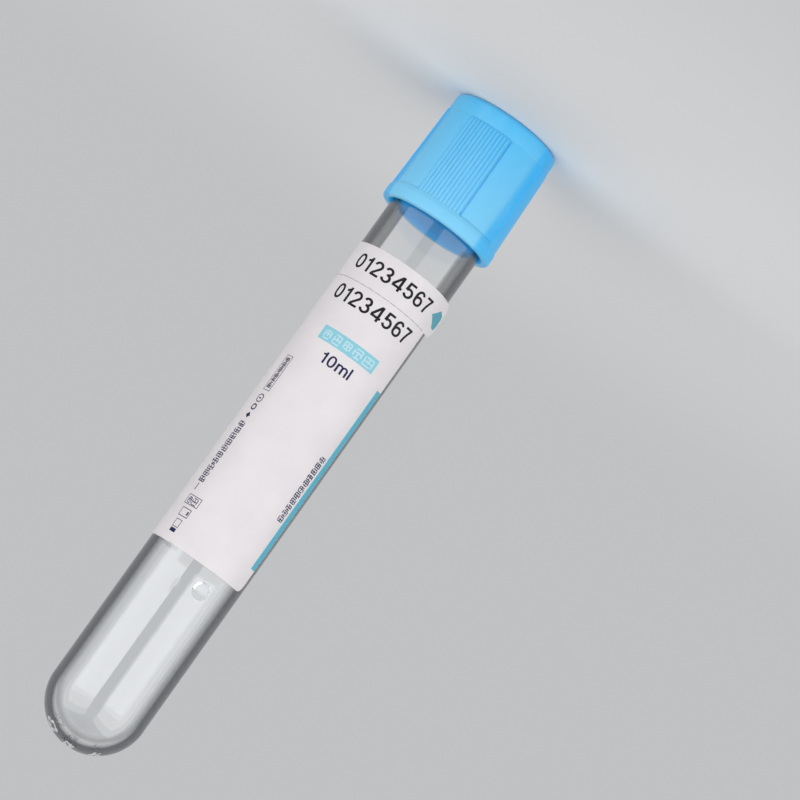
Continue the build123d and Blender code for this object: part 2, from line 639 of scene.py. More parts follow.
@dataclass(frozen=True)
class StudioFloor(Finish):
    """Pale matt floor. Away from the object it melts into the backdrop's colour."""

    title: str = "studio_floor"
    colour: Colour = (0.80, 0.805, 0.815)
    speckle: Colour = (0.72, 0.725, 0.735)
    backdrop: Colour = BACKDROP
    speck: Mottle = Mottle(0.003, 4.0)
    speckle_share: float = 0.1
    roughness: float = 0.75
    sheen: float = 0.15
    melts: Point2 = (0.03, 0.2)

    def paint(self, board: Board) -> None:
        """Fills the board.

        Args:
            board: The material's board.
        """
        x, y, _ = board.axes()
        speck = self.speck.on(board) * self.speckle_share
        matt = board.surface(
            Base_Color=board.mix(speck, self.colour, self.speckle),
            Roughness=self.roughness,
            Specular_IOR_Level=self.sheen,
        )
        plain_colour = board.node("ShaderNodeEmission", sockets={0: (*self.backdrop, 1.0)})
        share = ((x * x + y * y) ** 0.5).rise(*self.melts) * board.seen()
        board.show(board.blend(share, matt, plain_colour))


# ------------------------------------------------------------------------------------------------
# Shapes
# ------------------------------------------------------------------------------------------------


@dataclass(frozen=True)
class TubeFrame:
    """Places on the tube: a station from the pole of the round end, an angle and a radius, in mm.

    The angle is in degrees from the front, and grows towards -X.
    """

    pole_z: float

    @classmethod
    def from_cad(cls, tube_length: float) -> "TubeFrame":
        """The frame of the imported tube, from the height of its mouth and its length in mm."""
        mouth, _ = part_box("tube")
        return cls(mouth.z / MM + tube_length)

    def point(self, station: float, angle: float, radius: float) -> Vector:
        """A place in metres.

        Args:
            station: Distance along the axis from the pole, in mm.
            angle: Degrees round from the front.
            radius: Distance from the axis, in mm.

        Returns:
            The place.
        """
        turn = math.radians(angle)
        place = (-math.sin(turn) * radius, -math.cos(turn) * radius, self.pole_z - station)
        return Vector(place) * MM


def rounded(corners: Sequence[tuple[float, float, float]], steps: int = 6) -> list[Point2]:
    """A path with rounded corners.

    Args:
        corners: Station, radius and rounding of each corner, in mm.
        steps: How many edges each rounding gets.

    Returns:
        The path's points. Its first and last corners stay as they are.
    """
    path: list[Point2] = []
    for number, (station, radius, rounding) in enumerate(corners):
        here = Vector((station, radius))
        if rounding == 0 or number in (0, len(corners) - 1):
            path.append((station, radius))
            continue
        before = (Vector(corners[number - 1][:2]) - here).normalized()
        after = (Vector(corners[number + 1][:2]) - here).normalized()
        half = before.angle(after) / 2
        reach = rounding / math.tan(half)
        centre = here + (before + after).normalized() * (rounding / math.sin(half))
        start, end = here + before * reach - centre, here + after * reach - centre
        swing = start.angle_signed(end)
        for step in range(steps + 1):
            spoke = start.copy()
            spoke.rotate(Matrix.Rotation(-swing * step / steps, 2))
            path.append((centre.x + spoke.x, centre.y + spoke.y))
    return path


def arc(centre: Point2, radius: float, start: float, end: float, steps: int) -> list[Point2]:
    """Points on a circular arc of a section.

    Args:
        centre: Station and radius of its centre, in mm.
        radius: Its radius.
        start: Where it starts, in degrees from the axis towards the cap.
        end: Where it ends.
        steps: How many edges it has.

    Returns:
        The points.
    """
    along, out = centre
    turns = (math.radians(start + (end - start) * step / steps) for step in range(steps + 1))
    return [(along + radius * math.cos(turn), out + radius * math.sin(turn)) for turn in turns]


def finished_mesh(
    name: str, shape: bmesh.types.BMesh, sharp: float = CRISP_FOLD
) -> bpy.types.Object:
    """Turns a bmesh into an object with smooth shading.

    Args:
        name: The piece's name.
        shape: Its shape. It is freed.
        sharp: Edges that fold by more than this stay crisp, in degrees.

    Returns:
        The object, linked to the scene.
    """
    bmesh.ops.recalc_face_normals(shape, faces=shape.faces)
    mesh = bpy.data.meshes.new(name)
    shape.to_mesh(mesh)
    shape.free()
    for polygon in mesh.polygons:
        polygon.use_smooth = True
    mesh.set_sharp_from_angle(angle=math.radians(sharp))
    piece = bpy.data.objects.new(name, mesh)
    bpy.context.scene.collection.objects.link(piece)
    return piece


def bridge(
    shape: bmesh.types.BMesh, one: list[bmesh.types.BMVert], other: list[bmesh.types.BMVert]
) -> None:
    """Joins two rings of vertices with faces.

    Args:
        shape: The shape that they are in.
        one: The first ring. A ring of one vertex is a tip.
        other: The second ring, which has as many vertices unless one of the two is a tip.
    """
    count = max(len(one), len(other))
    for number in range(count):
        after = (number + 1) % count
        spots = ((one, number), (other, number), (other, after), (one, after))
        corners = dict.fromkeys(ring[spot % len(ring)] for ring, spot in spots)
        shape.faces.new(tuple(corners))


def turned(
    name: str,
    place: TubeFrame,
    section: Sequence[Point2],
    angles: Sequence[float],
    closed: bool,
    relief: Callable[[float, float, float], float] | None = None,
    sharp: float = CRISP_FOLD,
) -> bpy.types.Object:
    """A piece turned about the tube's axis.

    Args:
        name: The piece's name.
        place: The tube's frame.
        section: Station and radius of each point of the section, in mm.
        angles: Where the section is drawn, in degrees, once round.
        closed: Whether the section's last point joins its first.
        relief: How far a point stands proud, from its station, angle and radius.
        sharp: Edges that fold by more than this stay crisp, in degrees.

    Returns:
        The piece.
    """
    shape = bmesh.new()
    rings = []
    for station, radius in section:
        if radius == 0:
            rings.append([shape.verts.new(place.point(station, 0, 0))])
            continue
        ring = []
        for angle in angles:
            proud = relief(station, angle, radius) if relief else 0.0
            ring.append(shape.verts.new(place.point(station, angle, radius + proud)))
        rings.append(ring)
    for one, other in zip(rings, rings[1:] + rings[:1] if closed else rings[1:]):
        bridge(shape, one, other)
    return finished_mesh(name, shape, sharp)


def ways_at(angle: float) -> tuple[Vector, Vector]:
    """Finds two ways that are square to the tube's axis and to each other.

    Args:
        angle: Degrees round from the front.

    Returns:
        The way outward there and the way onward round the tube, each of length 1.
    """
    turn = math.radians(angle)
    outward = Vector((-math.sin(turn), -math.cos(turn), 0.0))
    onward = Vector((-math.cos(turn), math.sin(turn), 0.0))
    return outward, onward


def even_angles(count: int) -> list[float]:
    """Angles once round, in degrees."""
    return [360.0 * number / count for number in range(count)]


# ------------------------------------------------------------------------------------------------
# Barrel
# ------------------------------------------------------------------------------------------------


@dataclass
class Barrel:
    """The clear tube with its round end. Sizes in mm."""

    place: TubeFrame
    radius: float = 7.8
    wall: float = 1.2
    length: float = 100.0
    end_wall: float = 1.7
    mouth_rounding: float = 0.3
    gate_radius: float = 1.1
    gate_depth: float = 0.2
    stub_radius: float = 0.4
    stub_station: float = 0.08
    gate_rounding: float = 0.05
    gate_steps: int = 3
    dome_steps: int = 48
    foot_rings: Point2 = (0.3, 1.5)
    mouth_rings: Point2 = (1.5, 0.6)
    segments: int = 256

    @property
    def bore(self) -> float:
        """Radius of the bore."""
        return self.radius - self.wall

    def _side(self, foot: float, radius: float) -> list[tuple[float, float, float]]:
        """Lays a straight side of the wall, from the round end towards the mouth.

        Args:
            foot: Station where the round end passes into it.
            radius: Its radius.

        Returns:
            Station, radius and rounding of each point.
        """
        stations = [foot + depth for depth in self.foot_rings]
        stations += [self.length / 2, *(self.length - depth for depth in self.mouth_rings)]
        return [(station, radius, 0.0) for station in stations]

    def section(self) -> list[Point2]:
        """Draws the wall's section, from the pole outside to the pole inside.

        Returns:
            Station and radius of each point.
        """
        rise = math.degrees(math.asin(self.gate_radius / self.radius))
        dome = arc((self.radius, 0.0), self.radius, 180.0 - rise, 90.0, self.dome_steps)
        gate = rounded(
            (
                (self.stub_station, 0.0, 0.0),
                (self.stub_station, self.stub_radius, self.gate_rounding),
                (self.gate_depth, self.stub_radius, self.gate_rounding),
                (self.gate_depth, self.gate_radius, self.gate_rounding),
                (*dome[0], self.gate_rounding / 2),
                (*dome[1], 0.0),
            ),
            self.gate_steps,
        )
        bore_foot = self.end_wall + self.bore
        sides = rounded(
            (
                *self._side(self.radius, self.radius),
                (self.length, self.radius, self.mouth_rounding),
                (self.length, self.bore, self.mouth_rounding),
                *reversed(self._side(bore_foot, self.bore)),
            )
        )
        inside = arc((bore_foot, 0.0), self.bore, 90.0, 180.0, self.dome_steps)
        inside[-1] = (self.end_wall, 0.0)
        return gate[:-1] + dome[1:] + sides + inside

    def build(self, finish: Finish) -> bpy.types.Object:
        """Makes the barrel.

        Args:
            finish: Its finish.

        Returns:
            The piece, riding on the tube's body.
        """
        barrel = turned("barrel", self.place, self.section(), even_angles(self.segments), False)
        barrel.data.materials.append(finish.material())
        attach(barrel, TUBE_BODY)
        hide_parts("tube")
        LOG.info("barrel: %d faces", len(barrel.data.polygons))
        return barrel


@dataclass(frozen=True)
class ScuffPatch:
    """A cluster of flakes on the round end: its middle in degrees and mm, its spread in mm."""

    angle: float
    off_axis: float
    spread: float
    count: int

    def place(self, draw: random.Random) -> Point2:
        """Draws the place of one flake.

        Args:
            draw: The source of the random numbers.

        Returns:
            Its distance from the tube's axis in mm, and its turn round the tube in radians.
        """
        turn = math.radians(self.angle)
        stray = self.spread * math.sqrt(draw.random())
        way = draw.uniform(0.0, math.tau)
        ahead = self.off_axis * math.cos(turn) + stray * math.cos(way)
        aside = self.off_axis * math.sin(turn) + stray * math.sin(way)
        return math.hypot(ahead, aside), math.atan2(aside, ahead)


@dataclass
class GateScuffs:
    """White flakes round the moulding gate at the pole. Sizes in mm."""

    place: TubeFrame
    tube_radius: float
    patches: tuple[ScuffPatch, ...] = (
        ScuffPatch(-57.0, 4.1, 1.25, 34),
        ScuffPatch(-5.0, 2.3, 1.0, 26),
        ScuffPatch(64.0, 4.3, 0.75, 12),
        ScuffPatch(180.0, 3.0, 2.0, 12),
    )
    nearest: float = 1.3
    smallest: float = 0.1
    largest: float = 0.5
    shrink: Point2 = (0.6, 1.0)
    corners: tuple[int, int] = (5, 8)
    jagged: Point2 = (0.5, 1.0)
    thickness: float = 0.03
    sunk: float = 0.01
    sharp: float = 30.0
    seed: int = 5

    def _on_dome(self, off_axis: float, turn: float, lift: float) -> Vector:
        """Finds a place on the round end.

        Args:
            off_axis: Its distance from the axis.
            turn: Its turn round the tube, in radians.
            lift: Its height over the skin.

        Returns:
            The place in metres.
        """
        reach = off_axis / self.tube_radius
        radius = self.tube_radius + lift
        station = self.tube_radius - radius * math.sqrt(1 - reach**2)
        return self.place.point(station, math.degrees(turn), radius * reach)

    def build(self, finish: Finish) -> bpy.types.Object:
        """Makes the flakes.

        Args:
            finish: Their finish.

        Returns:
            The piece, riding on the tube's body.
        """
        draw = random.Random(self.seed)
        shape = bmesh.new()
        for patch in (patch for patch in self.patches for _ in range(patch.count)):
            off_axis, turn = patch.place(draw)
            off_axis = max(off_axis, self.nearest)
            size = draw.uniform(self.smallest, self.largest) * draw.uniform(*self.shrink)
            corners = draw.randint(*self.corners)
            outline = []
            for corner in range(corners):
                way = math.tau * corner / corners
                reach = size * draw.uniform(*self.jagged)
                out = off_axis + reach * math.cos(way)
                outline.append((out, turn + reach * math.sin(way) / off_axis))
            lower, upper = (
                [shape.verts.new(self._on_dome(*place, lift)) for place in outline]
                for lift in (-self.sunk, self.thickness - self.sunk)
            )
            shape.faces.new(lower)
            shape.faces.new(upper)
            bridge(shape, lower, upper)
        scuffs = finished_mesh("gate_scuffs", shape, self.sharp)
        scuffs.data.materials.append(finish.material())
        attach(scuffs, TUBE_BODY)
        LOG.info("gate scuffs: %d flakes", sum(patch.count for patch in self.patches))
        return scuffs


@dataclass
class Drop:
    """A drop of additive that hangs on the bore. Sizes in mm."""

    place: TubeFrame
    bore: float
    station: float = 28.9
    angle: float = 23.2
    radius: float = 1.375
    height: float = 0.9
    clearance: float = 0.01
    rings: int = 14
    segments: int = 48
    halvings: int = 30

    def _dome(self, off_centre: float) -> float:
        """How far from the axis the drop's face is, at a distance from its centre."""
        bend = (self.radius**2 + self.height**2) / (2 * self.height)
        return self.bore - self.height + bend - math.sqrt(bend**2 - off_centre**2)

    def _wall(self, sideways: float) -> float:
        """How far out the bore is, at a distance to the side of the drop's centre."""
        return math.sqrt((self.bore - self.clearance) ** 2 - sideways**2)

    def _reach(self, turn: float) -> float:
        """Finds where the drop's face meets the bore.

        Args:
            turn: The direction from the drop's centre, in radians.

        Returns:
            The distance from its centre.
        """
        near, far = 0.0, self.radius
        for _ in range(self.halvings):
            middle = (near + far) / 2
            inside = self._dome(middle) < self._wall(middle * math.sin(turn))
            near, far = (middle, far) if inside else (near, middle)
        return near

    def build(self, finish: Finish) -> bpy.types.Object:
        """Makes the drop.

        Args:
            finish: Its finish.

        Returns:
            The piece, riding on the tube's body.
        """
        outward, onward = ways_at(self.angle)
        shape = bmesh.new()

        def vertex(along: float, aside: float, depth: float) -> bmesh.types.BMVert:
            """A vertex at a place about the drop's centre, depth being its distance outward."""
            centre = Vector((0.0, 0.0, self.place.pole_z - self.station - along))
            return shape.verts.new((centre + onward * aside + outward * depth) * MM)

        face = [[vertex(0.0, 0.0, self._dome(0.0))]]
        back = [[vertex(0.0, 0.0, self._wall(0.0))]]
        turns = [math.tau * number / self.segments for number in range(self.segments)]
        for ring in range(1, self.rings + 1):
            share = math.sin(math.pi / 2 * ring / self.rings)
            face.append([])
            back.append([] if ring < self.rings else face[-1])
            for turn in turns:
                off = self._reach(turn) * share
                along, aside = off * math.cos(turn), off * math.sin(turn)
                face[-1].append(vertex(along, aside, self._dome(off)))
                if ring < self.rings:
                    back[-1].append(vertex(along, aside, self._wall(aside)))
        for sheet in (face, back):
            for one, other in zip(sheet, sheet[1:]):
                bridge(shape, one, other)
        drop = finished_mesh("additive", shape)
        drop.data.materials.append(finish.material())
        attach(drop, TUBE_BODY)
        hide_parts("additive_drop")
        LOG.info("additive drop: %d faces", len(drop.data.polygons))
        return drop


# ------------------------------------------------------------------------------------------------
# Label
# ------------------------------------------------------------------------------------------------


class InkKind(IntEnum):
    """The inks on the label, numbered as their material slots."""

    BLACK = 0
    NAVY = 1
    CYAN = 2
    TEAL = 3
    LIGHT = 4
    PALE = 5
    CUT = 6


INKS = {
    InkKind.BLACK: Ink("ink_black", (0.008, 0.007, 0.009), 0.04),
    InkKind.NAVY: Ink("ink_navy", (0.016, 0.014, 0.075), 0.05),
    InkKind.CYAN: Ink("ink_cyan", (0.09, 0.44, 0.58), 0.2),
    InkKind.TEAL: Ink("ink_teal", (0.09, 0.36, 0.45), 0.15),
    InkKind.LIGHT: Ink("ink_light_cyan", (0.26, 0.60, 0.71), 0.25),
    InkKind.PALE: Ink("ink_pale", (0.50, 0.73, 0.83), 0.3),
    InkKind.CUT: Ink("cut_shade", (0.33, 0.29, 0.29), 0.3),
}


@dataclass(frozen=True)
class Wrap:
    """How the flat label lies on the tube. Its flat width runs from the front, in mm.

    Past the root of the tab the paper leaves the tube and bends back a little, more at its end
    than at its tear line. Each curl is in degrees per mm of paper, and above zero goes outward.
    """

    place: TubeFrame
    radius: float
    root_angle: float
    tear: float
    end: float
    tear_curl: float
    end_curl: float

    def width_at(self, angle: float) -> float:
        """Flat distance from the front to an angle, in mm."""
        return math.radians(angle) * self.radius

    def point(self, width: float, station: float, lift: float) -> Vector:
        """Where a place on the flat label comes to lie.

        Args:
            width: Flat distance from the front, in mm.
            station: Distance from the pole, in mm.
            lift: Height over the label's face, in mm.

        Returns:
            The place in metres.
        """
        root = self.width_at(self.root_angle)
        if width <= root:
            return self.place.point(station, math.degrees(width / self.radius), self.radius + lift)
        share = max(0.0, min(1.0, (station - self.tear) / (self.end - self.tear)))
        curl = math.radians(self.tear_curl + (self.end_curl - self.tear_curl) * share)
        out = width - root
        bend = curl * out
        outward, onward = ways_at(self.root_angle)
        along = onward * (math.sin(bend) / curl) + outward * ((1 - math.cos(bend)) / curl)
        raised = (outward * math.cos(bend) - onward * math.sin(bend)) * lift
        return self.place.point(station, self.root_angle, self.radius) + (along + raised) * MM


@dataclass
class Label:
    """The rolled paper label with its tear-off strip and free tab. Sizes in mm."""

    place: TubeFrame
    tube_radius: float
    thickness: float = 0.1
    glue_gap: float = 0.006
    start: float = 32.0
    end: float = 84.3
    left_angle: float = -150.0
    right_angle: float = 69.0
    corner: float = 1.2
    strip: float = 5.85
    tab: float = 3.7
    tab_corner: float = 2.0
    tear_curl: float = -1.4
    end_curl: float = -2.0
    pitch: float = 0.14
    corner_steps: int = 8
    plain_rows: int = 12
    row_gap: float = 0.004
    slack: float = 0.002
    sharp: float = 35.0

    @property
    def wrap(self) -> Wrap:
        """How the label's face lies on the tube.

        Returns:
            The wrap, with the free tab past the sheet's right edge.
        """
        return Wrap(
            self.place,
            self.tube_radius + self.thickness,
            self.right_angle,
            self.tear,
            self.end,
            self.tear_curl,
            self.end_curl,
        )

    @property
    def tear(self) -> float:
        """Station of the tear line."""
        return self.end - self.strip

    @staticmethod
    def _inset(corner: float, depth: float) -> float:
        """How far a rounded corner draws an edge in.

        Args:
            corner: The corner's rounding.
            depth: The distance from the corner's end.

        Returns:
            How far in the edge is there.
        """
        if depth >= corner:
            return 0.0
        return corner - math.sqrt(max(corner**2 - (corner - depth) ** 2, 0.0))

    def _ease(self, corner: float) -> list[float]:
        """Depths at which a rounded corner is drawn."""
        steps = range(self.corner_steps + 1)
        return [corner * (1 - math.cos(math.pi / 2 * step / self.corner_steps)) for step in steps]

    def _rows(self) -> list[float]:
        """Spaces the label's rows, which lie closer together at its corners.

        Returns:
            Their stations.
        """
        stations = {self.start + depth for depth in self._ease(self.corner)}
        stations |= {self.end - depth for depth in self._ease(self.corner)}
        stations |= {self.end - depth for depth in self._ease(self.tab_corner)}
        stations |= {self.tear + depth for depth in self._ease(self.tab_corner)}
        low, rows = self.start + self.corner, self.plain_rows
        span = self.tear - self.start - self.corner
        stations |= {low + span * step / rows for step in range(rows)}
        kept: list[float] = []
        for station in sorted(stations):
            if not kept or station - kept[-1] > self.row_gap:
                kept.append(station)
        return kept

    def _widths(self, station: float) -> list[float]:
        """Spaces the places across one row.

        Args:
            station: The row's station.

        Returns:
            Their widths from the front.
        """
        left, right = self.wrap.width_at(self.left_angle), self.wrap.width_at(self.right_angle)
        columns, tab_columns = round((right - left) / self.pitch), round(self.tab / self.pitch)
        low, high = station - self.start, self.end - station
        first = left + self._inset(self.corner, min(low, high))
        last = right - self._inset(self.corner, low)
        widths = [first + (last - first) * step / columns for step in range(columns + 1)]
        if station >= self.tear - self.slack:
            depth = min(max(station - self.tear, 0.0), high)
            reach = self.tab - self._inset(self.tab_corner, depth)
            steps = range(1, tab_columns + 1)
            widths += [right + reach * step / tab_columns for step in steps]
        return widths

    def build(self, finish: Finish) -> bpy.types.Object:
        """Makes the sheet.

        Args:
            finish: Its finish.

        Returns:
            The piece, riding on the tube's body.
        """
        wrap = self.wrap
        rows = [(station, self._widths(station)) for station in self._rows()]
        shape = bmesh.new()
        grids = []
        for lift in (0.0, self.glue_gap - self.thickness):
            grid = []
            for station, widths in rows:
                places = (wrap.point(width, station, lift) for width in widths)
                grid.append([shape.verts.new(place) for place in places])
            for one, other in zip(grid, grid[1:]):
                for step in range(min(len(one), len(other)) - 1):
                    shape.faces.new((one[step], one[step + 1], other[step + 1], other[step]))
            grids.append(grid)
        partner = {}
        for face_row, back_row in zip(*grids):
            partner.update(zip(face_row, back_row))
        for edge in [edge for edge in shape.edges if len(edge.link_faces) == 1]:
            one, other = edge.verts
            if one in partner and other in partner:
                shape.faces.new((one, other, partner[other], partner[one]))
        sheet = finished_mesh("label_sheet", shape, self.sharp)
        sheet.data.materials.append(finish.material())
        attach(sheet, TUBE_BODY)
        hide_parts("label")
        LOG.info("label: %d faces", len(sheet.data.polygons))
        return sheet


def bow(centre: Point2, reach: Point2, start: float, end: float, steps: int = 18) -> list[Point2]:
    """Points on a part of an ellipse.

    Args:
        centre: Its centre.
        reach: Its half width and half height.
        start: Where it starts, in degrees anticlockwise from the right.
        end: Where it ends.
        steps: How many edges it has.

    Returns:
        The points.
    """
    x, y = centre
    across, up = reach
    turns = (math.radians(start + (end - start) * step / steps) for step in range(steps + 1))
    return [(x + across * math.cos(turn), y + up * math.sin(turn)) for turn in turns]


@dataclass(frozen=True)
class Glyph:
    """A character in a box 1 high: its width and the middle lines of its strokes."""

    width: float
    strokes: tuple[tuple[Point2, ...], ...]

    @classmethod
    def of(cls, width: float, *strokes: Sequence[Point2]) -> "Glyph":
        """A character of a width, from the middle lines of its strokes."""
        return cls(width, tuple(tuple(stroke) for stroke in strokes))


def oval(centre: Point2, reach: Point2, steps: int = 36) -> list[Point2]:
    """A closed line a little squarer than an ellipse, with its first point given again.

    Args:
        centre: Its centre.
        reach: Its half width and half height.
        steps: How many edges it has.

    Returns:
        The points.
    """
    path = []
    for x, y in bow((0.0, 0.0), (1.0, 1.0), 0.0, 360.0, steps)[:-1]:
        across = math.copysign(abs(x) ** OVAL_POWER, x)
        up = math.copysign(abs(y) ** OVAL_POWER, y)
        path.append((centre[0] + across * reach[0], centre[1] + up * reach[1]))
    return path + path[:1]


GLYPHS = {
    "0": Glyph.of(0.58, oval((0.29, 0.5), (0.22, 0.43))),
    "1": Glyph.of(0.42, [(0.30, 0.0), (0.30, 1.0)], [(0.06, 0.74), (0.17, 0.77), (0.30, 0.87)]),
    "2": Glyph.of(
        0.58,
        [*bow((0.29, 0.70), (0.215, 0.23), 175.0, -30.0), (0.26, 0.32), (0.13, 0.16), (0.09, 0.03)],
        [(0.03, 0.066), (0.55, 0.066)],
    ),
    "3": Glyph.of(
        0.58,
        bow((0.27, 0.725), (0.195, 0.205), 165.0, -95.0),
        bow((0.27, 0.29), (0.225, 0.225), 100.0, -168.0),
    ),
    "4": Glyph.of(
        0.64,
        [(0.47, 0.0), (0.47, 1.0)],
        [(0.43, 0.95), (0.05, 0.29)],
        [(0.01, 0.25), (0.63, 0.25)],
    ),
    "5": Glyph.of(
        0.58,
        [(0.13, 0.933), (0.52, 0.933)],
        [(0.145, 0.99), (0.085, 0.47)],
        bow((0.275, 0.325), (0.225, 0.26), 142.0, -160.0),
    ),
    "6": Glyph.of(
        0.58,
        oval((0.295, 0.31), (0.215, 0.245)),
        [*bow((0.30, 0.60), (0.225, 0.335), 32.0, 180.0), (0.075, 0.45), (0.082, 0.30)],
    ),
    "7": Glyph.of(
        0.56,
        [(0.03, 0.933), (0.54, 0.933)],
        [(0.50, 0.97), (0.36, 0.68), (0.25, 0.36), (0.20, 0.0)],
    ),
    "m": Glyph.of(
        0.86,
        [(0.07, 0.0), (0.07, 0.74)],
        [*bow((0.25, 0.49), (0.18, 0.19), 178.0, 0.0), (0.43, 0.0)],
        [*bow((0.61, 0.49), (0.18, 0.19), 178.0, 0.0), (0.79, 0.0)],
    ),
    "l": Glyph.of(0.14, [(0.07, 0.0), (0.07, 1.0)]),
}


@dataclass(frozen=True)
class Rect:
    """A rectangle on the flat label: its widths from the front and its stations, in mm."""

    left: float
    low: float
    right: float
    high: float

    @property
    def corners(self) -> tuple[Point2, ...]:
        """Its corners, in order."""
        left, low, right, high = self.left, self.low, self.right, self.high
        return (left, low), (right, low), (right, high), (left, high)


@dataclass(frozen=True)
class Lettering:
    """Plain lettering that fills a rectangle, with strokes and gaps in shares of its height."""

    ink: InkKind
    text: str
    weight: float
    gap: float
    room: Rect


@dataclass(frozen=True)
class Column:
    """A column of stand-in characters that fills a rectangle."""

    count: int
    room: Rect


@dataclass(frozen=True)
class Box:
    """A plain box with lines of a thickness, in mm."""

    line: float
    room: Rect


@dataclass(frozen=True)
class Ring:
    """An oval with a line of a thickness, in mm."""

    line: float
    centre: Point2
    reach: Point2


@dataclass(frozen=True)
class PrintLayout:
    """What is printed on the label, and where. Sizes in mm."""

    # The same plain number above and below the tear line, and the volume
    lettering: tuple[Lettering, ...] = (
        Lettering(InkKind.BLACK, "01234567", 0.15, 0.12, Rect(-7.804, 80.3, 6.7424, 82.7)),
        Lettering(InkKind.BLACK, "01234567", 0.15, 0.12, Rect(-7.804, 74.895, 6.7424, 77.345)),
        Lettering(InkKind.NAVY, "10ml", 0.145, 0.11, Rect(-2.8817, 65.6, 2.2888, 67.4)),
    )
    # The light blue band and its pale stand-in characters
    band: Rect = Rect(-5.2671, 68.5, 4.8534, 70.75)
    band_line: float = 0.22
    band_characters: tuple[Rect, ...] = (
        Rect(-4.6328, 68.9, -3.3643, 70.35),
        Rect(-2.9507, 68.9, -1.627, 70.35),
        Rect(-1.1444, 68.9, 0.1655, 70.35),
        Rect(0.5791, 68.9, 2.0958, 70.35),
        Rect(2.4956, 68.9, 4.3295, 70.35),
    )
    # Stand-in text up the two sides
    column_line: float = 0.155
    columns: tuple[Column, ...] = (
        Column(10, Rect(-8.3418, 41.8, -6.9492, 52.65)),
        Column(6, Rect(-8.0418, 58.5, -7.1492, 64.0)),
        Column(11, Rect(6.246, 43.55, 7.4869, 55.05)),
    )
    # Signs in the left column, and boxes at its foot
    diamond: tuple[Point2, ...] = (
        (-8.1455, 53.65),
        (-7.6455, 53.15),
        (-7.1455, 53.65),
        (-7.6455, 54.15),
    )
    rings: tuple[Ring, ...] = (
        Ring(0.22, (-7.6455, 55.1), (0.45, 0.42)),
        Ring(0.16, (-7.6455, 56.65), (0.62, 0.62)),
    )
    boxes: tuple[Box, ...] = (
        Box(0.09, Rect(-8.3918, 58.05, -6.7992, 64.2)),
        Box(0.1, Rect(-7.9144, 38.05, -4.9224, 39.6)),
        Box(0.11, Rect(-7.4042, 36.1, -5.3774, 37.5)),
        Box(0.1, Rect(-7.0319, 34.3, -5.7634, 35.6)),
    )
    bars: tuple[Rect, ...] = (
        Rect(-7.7255, 40.4, -7.5655, 41.55),
        Rect(-7.9255, 56.55, -7.3655, 56.75),
        Rect(-5.9274, 36.5, -5.6274, 37.1),
        Rect(-6.9819, 33.5, -5.8134, 34.1),
    )
    box_line: float = 0.13
    box_characters: tuple[Rect, ...] = (
        Rect(-7.4644, 38.3, -6.7144, 39.35),
        Rect(-6.5144, 38.3, -5.4224, 39.35),
    )
    # The arrow on the tab, with its tip on the sheet and widths from the sheet's right edge
    arrow: tuple[Point2, ...] = (
        (-1.4615, 81.27),
        (1.35, 79.85),
        (2.7, 79.9),
        (3.15, 80.77),
        (3.05, 81.87),
        (2.65, 82.39),
        (0.85, 82.74),
    )
    # The stripe, with widths from the same edge, and the tear line's dashes of painted shade
    stripe: Rect = Rect(-1.5, 35.8, -0.05, 67.45)
    dash: float = 1.2
    dash_gap: float = 0.13
    dash_line: float = 0.085


